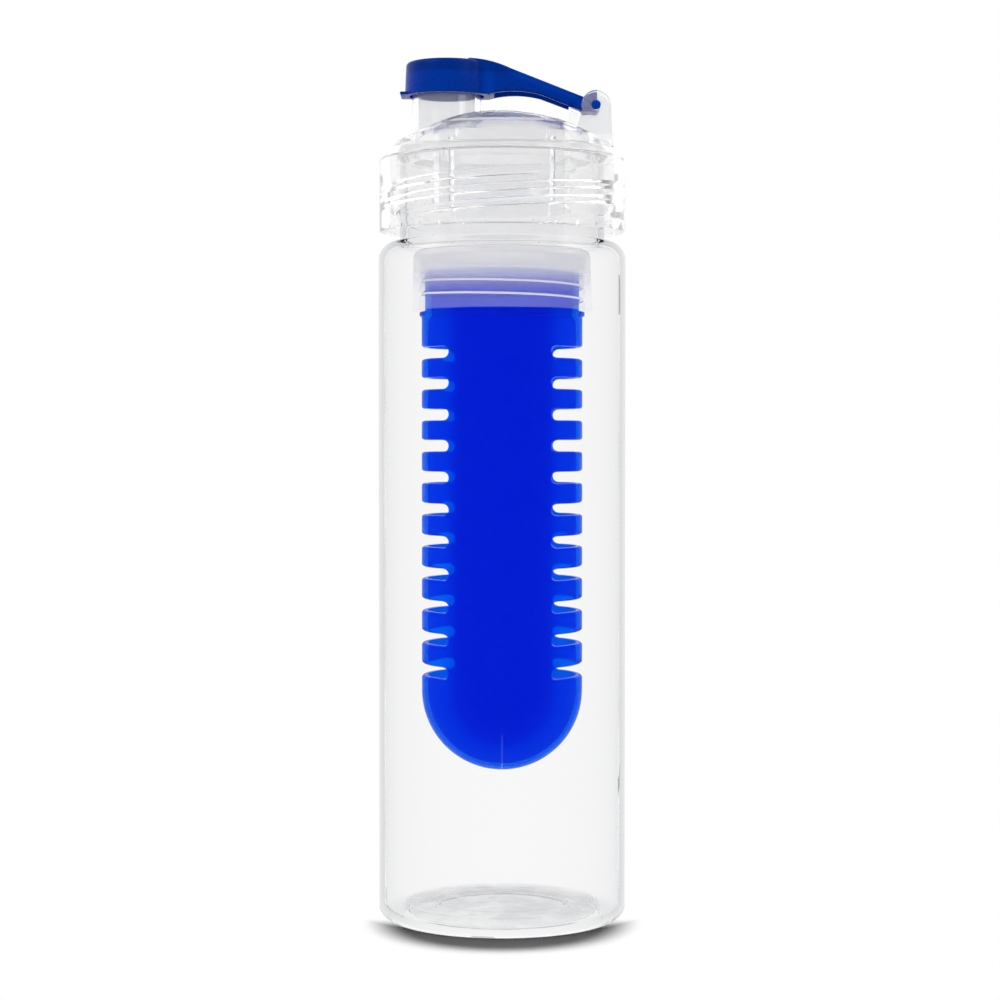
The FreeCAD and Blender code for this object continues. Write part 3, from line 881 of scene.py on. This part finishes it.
class INFUSER_OT_flip_cap(bpy.types.Operator):
    """Model the flip cap with its cup, plug, arm and trunnions"""
    bl_idname = "infuser.flip_cap"
    bl_label = "Flip cap"

    def execute(self, context):
        sizes = context.scene.infuser_cap
        lid = context.scene.infuser_lid
        axis = -lid.spout_offset
        foot = 0.3 * MM
        bottom = LID_HIGH[2] - 5.6 * MM
        top = bottom + sizes.height
        roof = top - sizes.roof
        top_r = sizes.radius - sizes.draft
        corner = (top_r - sizes.edge, top - sizes.crown - sizes.edge)
        cup = [(0.0, bottom)] + arc((sizes.radius - foot, bottom + foot), foot, -90, 0, EDGE_PARTS)
        cup += arc(corner, sizes.edge, 0, 90)
        crown = (corner[0] / 2, top - sizes.crown / 4)
        cup += curve_through((corner[0], corner[1] + sizes.edge), crown, (0.0, top))
        cap = turned("blue_cap", cup, axis, CAP_SIDES)
        pieces = [self.arm(sizes, axis, bottom, top), self.knuckle(sizes, lid),
                  self.tab(sizes, axis, bottom), self.pad(sizes, axis, top)]
        for piece in pieces:
            combine(cap, piece, "UNION")
        hollow = rectangle(0.0, bottom - PAST, sizes.radius - sizes.wall, roof)
        combine(cap, turned("cup_hollow", hollow, axis, CAP_SIDES), "DIFFERENCE")
        tip_r = sizes.plug_radius - 0.7 * MM
        tip = LID_HIGH[2] - sizes.plug
        plug = [(tip_r, tip), (sizes.plug_radius, LID_HIGH[2]), (sizes.plug_radius, roof + PAST),
                (sizes.plug_radius - sizes.plug_wall, roof + PAST), (tip_r - sizes.plug_wall, tip)]
        combine(cap, turned("plug", plug, axis, CAP_SIDES), "UNION")
        finishes = context.scene.infuser_finish
        # Painted shade: darker tint on the thick roof.
        roof_shade_z = roof - 2 * MM
        material = cap_plastic(finishes.cap, finishes.cap_roof_shade, roof_shade_z)
        finish(cap, "cap", "flip_cap", material)
        return {"FINISHED"}

    def arm_side(self, sizes, axis, bottom, top, top_drop=0.0, low_drop=0.0):
        """Side view of the arm, with its top and underside lowered by those drops."""
        x, z = HINGE[0], HINGE[2]
        start_x = axis + sizes.radius / 2
        cup_x = axis + sizes.radius
        bend_x = x - 25.0 * MM
        low_x = x - 16.0 * MM
        high = top - top_drop
        bend = (bend_x, arm_top(bend_x) - top_drop)
        crest = ((start_x + bend_x) / 2, high - (high - bend[1]) / 4)
        low_bend = (low_x, arm_under(sizes, low_x) - low_drop)
        arch_rise = 1.0 * MM
        arch = ((cup_x + low_x) / 2, (bottom + arm_under(sizes, low_x)) / 2 + arch_rise - low_drop)
        points = curve_through((start_x, high), crest, bend)
        points += [(x, arm_top(x) - top_drop), (x, z - BELOW_PIN - low_drop)]
        points += [(x - sizes.knuckle_radius, arm_under(sizes, x - sizes.knuckle_radius) - low_drop)]
        points += curve_through(low_bend, arch, (cup_x, bottom - low_drop))
        return points + [(start_x, bottom - low_drop)]

    def arm(self, sizes, axis, bottom, top):
        """Arm with rounded edges, narrowed towards the hinge and hollow underneath."""
        wide = sizes.arm_width / 2
        waist = HINGE[0] - 8.0 * MM
        wall = sizes.arm_wall
        arm = plate("arm", self.arm_side(sizes, axis, bottom, top), -wide, wide)
        inner = self.arm_side(sizes, axis, bottom, top, wall, 2 * wall)
        hollow = plate("arm_hollow", inner, -wide + wall, wide - wall)
        for piece, inset in ((arm, 0.0), (hollow, wall)):
            narrow = sizes.knuckle_width / 2 - inset
            for vertex in piece.data.vertices:
                along = min(max((vertex.co.x - axis) / (waist - axis), 0.0), 1.0)
                half = (wide - inset) * (1 - along) + narrow * along
                vertex.co.y = math.copysign(half, vertex.co.y)
        soften(arm, width=0.6 * MM, segments=3, angle=50)
        low_x = axis + sizes.radius + wall
        high_x = HINGE[0] - sizes.knuckle_radius - wall
        low_z = bottom - 20 * PAST
        keep = plate("keep", rectangle(low_x, low_z, high_x, top), -wide * 2, wide * 2)
        combine(hollow, keep, "INTERSECT")
        combine(arm, hollow, "DIFFERENCE")
        return arm

    def knuckle(self, sizes, lid):
        """Round end of the arm, cut off just past the pin, with the trunnions."""
        x, z = HINGE[0], HINGE[2]
        past = 0.4 * MM
        radius = sizes.knuckle_radius
        first = math.degrees(math.acos(past / radius))
        last = 180 + math.degrees(math.asin(BELOW_PIN / radius))
        end = arc((x, z), radius, first, last, parts=16) + [(x + past, z - BELOW_PIN)]
        knuckle = plate("knuckle", end, -sizes.knuckle_width / 2, sizes.knuckle_width / 2)
        soften(knuckle, width=0.25 * MM)
        reach = lid.ear_inside + lid.ear
        pin = plate("trunnions", arc((x, z), sizes.trunnion, 0, 345, HOLE_PARTS), -reach, reach)
        soften(pin, width=0.2 * MM)
        combine(knuckle, pin, "UNION")
        return knuckle

    def pad(self, sizes, axis, top):
        """Low rounded pad on the cup's top."""
        half = sizes.pad_length / 2
        outline = rectangle(axis - half, top - PAST, axis + half, CAP_HIGH[2])
        pad = plate("pad", outline, -sizes.pad_width / 2, sizes.pad_width / 2)
        soften(pad, width=0.2 * MM)
        return pad

    def tab(self, sizes, axis, bottom):
        """Thumb lip at the foot of the cup, away from the hinge."""
        tip = CAP_LOW[0]
        round_x = tip + 0.3 * MM
        outline = [(axis, bottom), (axis, bottom + sizes.tab), (round_x, bottom + sizes.tab * 0.8),
                   (tip, bottom + sizes.tab * 0.45), (round_x, bottom)]
        tab = plate("tab", outline, -sizes.tab_width / 2, sizes.tab_width / 2)
        soften(tab, width=0.2 * MM)
        return tab


class INFUSER_OT_collar(bpy.types.Operator):
    """Model the frosted collar with its spigot and inner thread"""
    bl_idname = "infuser.collar"
    bl_label = "Collar"

    def execute(self, context):
        sizes = context.scene.infuser_infuser
        thread = context.scene.infuser_thread
        low = COLLAR_LOW[2]
        radius = COLLAR_HIGH[0]
        spigot_top = COLLAR_HIGH[2]
        top = low + sizes.collar_height
        top_r = radius - sizes.collar_draft
        wall = sizes.collar_wall
        edge = 0.3 * MM
        root = 0.8 * MM
        outline = arc((radius - wall + edge, low + edge), edge, 180, 270, EDGE_PARTS)
        outline += arc((radius - edge, low + edge), edge, -90, 0, EDGE_PARTS)
        outline += arc((top_r - sizes.collar_edge, top - sizes.collar_edge), sizes.collar_edge, 0, 90)
        outline += arc((sizes.spigot_radius + root, top + root), root, 270, 180)
        outline += arc((sizes.spigot_radius - edge, spigot_top - edge), edge, 0, 90, EDGE_PARTS)
        inner = sizes.spigot_radius - sizes.spigot_wall
        outline += [(inner, spigot_top), (inner, top - wall)]
        outline += arc((top_r - wall - root, top - wall - root), root, 90, 0)
        collar = turned("collar", outline)
        taper = 0.2 * MM
        bore = top_r - wall + taper
        thread_low = low + 1.8 * MM
        add_thread(collar, bore, bore - thread.basket_depth, thread_low, thread.basket_pitch, starts=1,
                   turns=3.1, root=thread.basket_root, hand=-1)
        clear_z = low + 4.0 * MM
        milky_z = low + 18.0 * MM
        material = frosted_plastic(context.scene.infuser_finish.frost, clear_z, milky_z, top, bore - taper)
        finish(collar, "collar", "infuser_collar", material)
        return {"FINISHED"}


class INFUSER_OT_basket(bpy.types.Operator):
    """Model the slotted basket with its threaded neck"""
    bl_idname = "infuser.basket"
    bl_label = "Basket"

    def execute(self, context):
        sizes = context.scene.infuser_infuser
        thread = context.scene.infuser_thread
        low = BASKET_LOW[2]
        neck_top = BASKET_HIGH[2]
        bead_r = BASKET_HIGH[0]
        radius = sizes.basket_radius
        inside = radius - sizes.basket_wall
        ball_z = low + radius
        bead_top = neck_top - sizes.neck_height
        bead_low = bead_top - sizes.bead
        neck_in = sizes.basket_neck - sizes.basket_wall
        soft = 0.35 * MM
        ball_parts = 24
        outline = arc((0.0, ball_z), radius, -90, 0, ball_parts)
        outline += [(radius, bead_low - soft)]
        outline += arc((bead_r - soft, bead_low + soft), soft, -90, 0, EDGE_PARTS)
        outline += arc((bead_r - soft, bead_top - soft), soft, 0, 90, EDGE_PARTS)
        outline += [(sizes.basket_neck, bead_top)]
        outline += arc((sizes.basket_neck - soft, neck_top - soft), soft, 0, 90, EDGE_PARTS)
        outline += arc((neck_in + soft, neck_top - soft), soft, 90, 180, EDGE_PARTS)
        outline += [(neck_in, bead_low), (inside, bead_low - sizes.basket_wall)]
        outline += arc((0.0, ball_z), inside, 0, -90, ball_parts)
        basket = turned("basket", outline)
        combine(basket, self.slots(sizes, bead_top), "DIFFERENCE")
        combine(basket, self.slot_rounding(sizes, bead_top), "DIFFERENCE")
        thread_low = bead_top + 2.2 * MM
        add_thread(basket, sizes.basket_neck, sizes.basket_neck + thread.basket_depth, thread_low,
                   thread.basket_pitch, starts=1, turns=2.2, root=thread.basket_root, hand=-1)
        basket.data.transform(Matrix.Rotation(sizes.basket_turn, 4, "Z"))
        seam_z = low + 14 * MM
        material = basket_plastic(context.scene.infuser_finish, sizes.slot_reach, bead_top, ball_z, seam_z)
        finish(basket, "basket", "infuser_basket", material)
        return {"FINISHED"}

    def slot_z(self, sizes, bead_top, number):
        """Height of a slot's middle, counted from the top."""
        return bead_top - sizes.slot_first - number * (sizes.slot_pitch + number * sizes.slot_growth)

    def slots(self, sizes, bead_top):
        """All the slots of both sides as one cutter."""
        half = sizes.slot_height / 2
        far = sizes.basket_radius + 3 * PAST
        slots = []
        for side in (-1, 1):
            for number in range(sizes.slots):
                z = self.slot_z(sizes, bead_top, number)
                end = arc((sizes.slot_reach + half, z), half, 270, 90, parts=10)
                points = [(far, z - half)] + end + [(far, z + half)]
                slots.append(plate("slot", [(side * x, y) for x, y in points], -far, far))
        return joined_pieces(slots)

    def slot_rounding(self, sizes, bead_top):
        """Cutter that rounds the outer edges of the slots, clear of their round ends."""
        soft = sizes.slot_edge
        half = sizes.slot_height / 2
        radius = sizes.basket_radius
        out = radius + PAST
        rings = []
        for number in range(sizes.slots):
            z = self.slot_z(sizes, bead_top, number)
            high = z + half + soft
            low = z - half - soft
            section = [(radius - soft, z)] + arc((radius - soft, low), soft, 80, 0)
            section += [(out, low), (out, high)] + arc((radius - soft, high), soft, 0, -80)
            rings.append(turned("rounding", section, sides=ROUNDING_SIDES))
        rounding = joined_pieces(rings)
        inner = sizes.slot_reach + half
        below = self.slot_z(sizes, bead_top, sizes.slots)
        middle = plate("middle", rectangle(-inner, below, inner, bead_top), -2 * out, 2 * out)
        combine(rounding, middle, "DIFFERENCE")
        return rounding


LIGHT_AIM = Vector((0, 0, 0.12))


def area_light(name, place, width, height, power):
    """Rectangular light turned towards the bottle."""
    deselect()
    bpy.ops.object.light_add(type="AREA", location=place)
    lamp = bpy.context.object
    lamp.name = name
    lamp.data.shape = "RECTANGLE"
    lamp.data.size = width
    lamp.data.size_y = height
    lamp.data.energy = power
    lamp.rotation_euler = (LIGHT_AIM - Vector(place)).to_track_quat("-Z", "Y").to_euler()


def floor_material():
    """White floor with a painted shadow near the bottle, built from ambient occlusion, that fades into the
    backdrop.
    """
    material, tree, shader = new_material("studio_floor", {"Roughness": 0.9, "Specular IOR Level": 0.0})
    # Painted shadow: ambient occlusion from the bottle, turned through a ramp into dark grey near it.
    shade = add_node(tree, "ShaderNodeAmbientOcclusion", {"Distance": 30 * MM}, samples=12)
    painted_shadow = add_node(tree, "ShaderNodeValToRGB", {"Fac": shade.outputs["AO"]})
    ramp = painted_shadow.color_ramp.elements
    ramp[0].color = grey(0.1)
    ramp[0].position = 0.5
    ramp[1].color = grey(0.97)
    ramp[1].position = 0.92
    ramp.new(0.82).color = grey(0.12)
    retint(tree, painted_shadow.outputs["Color"])
    place = object_place(tree)
    # The painted shadow is kept off the floor under the bottle and behind it, and limited to an oval in
    # front of it.
    inside = smooth_step(tree, vector_length(tree, place), 31 * MM, 33.5 * MM, 1.0, 0.0)
    behind = smooth_step(tree, split(tree, place)["Y"], -20 * MM, -4 * MM, 0.0, 1.0)
    oval = add_node(tree, "ShaderNodeMapping", {
        "Vector": place,
        "Location": (0.0, 0.16, 0.0),
        "Scale": (1 / (41 * MM), 1 / (50 * MM), 1.0),
    })
    far = smooth_step(tree, vector_length(tree, oval.outputs["Vector"]), 0.72, 1.02, 0.0, 1.0)
    path = add_node(tree, "ShaderNodeLightPath")
    fade = math_node(tree, "MAXIMUM", math_node(tree, "MAXIMUM", inside, behind), far)
    fade = math_node(tree, "MAXIMUM", fade, path.outputs["Is Transmission Ray"])
    light = add_node(tree, "ShaderNodeEmission", {"Color": grey(1.0)})
    surface = mixed_shader(tree, shader.outputs["BSDF"], light.outputs["Emission"], fade)
    set_inputs(tree, tree.nodes["Material Output"], {"Surface": surface})
    return material


def studio_world():
    """White backdrop with soft fill light. Reflections see a darker room and a dark gap overhead."""
    world = bpy.data.worlds.new("studio")
    bpy.context.scene.world = world
    world.use_nodes = True
    tree = world.node_tree
    tree.nodes.clear()
    path = add_node(tree, "ShaderNodeLightPath").outputs
    place = split(tree, add_node(tree, "ShaderNodeTexCoord").outputs["Generated"])
    side = math_node(tree, "ABSOLUTE", place["X"], 0.0)
    room = smooth_step(tree, place["Y"], -0.3, 0.3, 0.9, 1.0)
    gap_wide = smooth_step(tree, side, 0.18, 0.38, 1.0, 0.0)
    gap_high = smooth_step(tree, place["Z"], 0.55, 0.7, 0.0, 0.85)
    gap = math_node(tree, "MULTIPLY", gap_wide, gap_high)
    level = math_node(tree, "MULTIPLY", room, math_node(tree, "SUBTRACT", 1.0, gap))
    level = math_node(tree, "MAXIMUM", level, path["Is Camera Ray"])
    seen = add_node(tree, "ShaderNodeBackground", {"Color": grey(1.0), "Strength": level})
    fill = add_node(tree, "ShaderNodeBackground", {"Color": grey(1.0), "Strength": 1.0})
    looked_at = math_node(tree, "MAXIMUM", path["Is Glossy Ray"], path["Is Transmission Ray"])
    looked_at = math_node(tree, "MAXIMUM", looked_at, path["Is Camera Ray"])
    direct = math_node(tree, "LESS_THAN", path["Diffuse Depth"], 0.5)
    looked_at = math_node(tree, "MULTIPLY", looked_at, direct)
    surface = mixed_shader(tree, fill.outputs["Background"], seen.outputs["Background"], looked_at)
    add_node(tree, "ShaderNodeOutputWorld", {"Surface": surface})


class INFUSER_OT_stage(bpy.types.Operator):
    """Set up the floor, backdrop, lights and camera"""
    bl_idname = "infuser.stage"
    bl_label = "Stage"

    def execute(self, context):
        scene = context.scene
        sizes = scene.infuser_stage
        deselect()
        bpy.ops.mesh.primitive_circle_add(vertices=96, radius=sizes.floor_radius, fill_type="NGON")
        floor = context.object
        floor.name = "studio_floor"
        floor.data.materials.append(floor_material())
        studio_world()
        area_light("key_light", (-0.9, -0.9, 1.1), width=0.7, height=0.9, power=9.0)
        area_light("fill_light", (1.0, -0.7, 0.8), width=0.5, height=0.9, power=4.0)
        deselect()
        place = Vector((sizes.aim_side, -sizes.distance, sizes.camera_height))
        bpy.ops.object.camera_add(location=place)
        camera = context.object
        camera.name = "photo_camera"
        aim = Vector((sizes.aim_side, 0.0, sizes.aim_height))
        camera.rotation_euler = (aim - place).to_track_quat("-Z", "Y").to_euler()
        camera.data.lens = sizes.lens
        camera.data.sensor_width = 36.0
        camera.data.clip_start = 0.01
        camera.data.clip_end = 50.0
        scene.camera = camera
        scene.view_settings.view_transform = "Standard"
        scene.cycles.max_bounces = 40
        scene.cycles.transmission_bounces = 40
        scene.cycles.glossy_bounces = 12
        scene.cycles.transparent_max_bounces = 64
        deselect()
        return {"FINISHED"}


class INFUSER_PT_pieces(bpy.types.Panel):
    """Lists the pieces in the sidebar"""
    bl_idname = "INFUSER_PT_pieces"
    bl_label = "Infuser bottle"
    bl_space_type = "VIEW_3D"
    bl_region_type = "UI"
    bl_category = "Infuser bottle"

    def draw(self, context):
        for operator in OPERATORS:
            self.layout.operator(operator.bl_idname)


GROUPS = {
    "infuser_bottle": BottleSizes,
    "infuser_thread": ThreadSizes,
    "infuser_lid": LidSizes,
    "infuser_cap": CapSizes,
    "infuser_infuser": InfuserSizes,
    "infuser_finish": Finishes,
    "infuser_stage": StageSizes,
}
OPERATORS = (
    INFUSER_OT_bottle,
    INFUSER_OT_gasket,
    INFUSER_OT_lid,
    INFUSER_OT_flip_cap,
    INFUSER_OT_collar,
    INFUSER_OT_basket,
    INFUSER_OT_stage,
)
CLASSES = (*GROUPS.values(), *OPERATORS, INFUSER_PT_pieces)


def register():
    for item in CLASSES:
        bpy.utils.register_class(item)
    for name, group in GROUPS.items():
        setattr(bpy.types.Scene, name, PointerProperty(type=group))


def unregister():
    for name in GROUPS:
        delattr(bpy.types.Scene, name)
    for item in reversed(CLASSES):
        bpy.utils.unregister_class(item)


def main():
    register()
    bpy.ops.infuser.bottle()
    bpy.ops.infuser.gasket()
    bpy.ops.infuser.lid()
    bpy.ops.infuser.flip_cap()
    bpy.ops.infuser.collar()
    bpy.ops.infuser.basket()
    bpy.ops.infuser.stage()


if __name__ == "__main__":
    main()
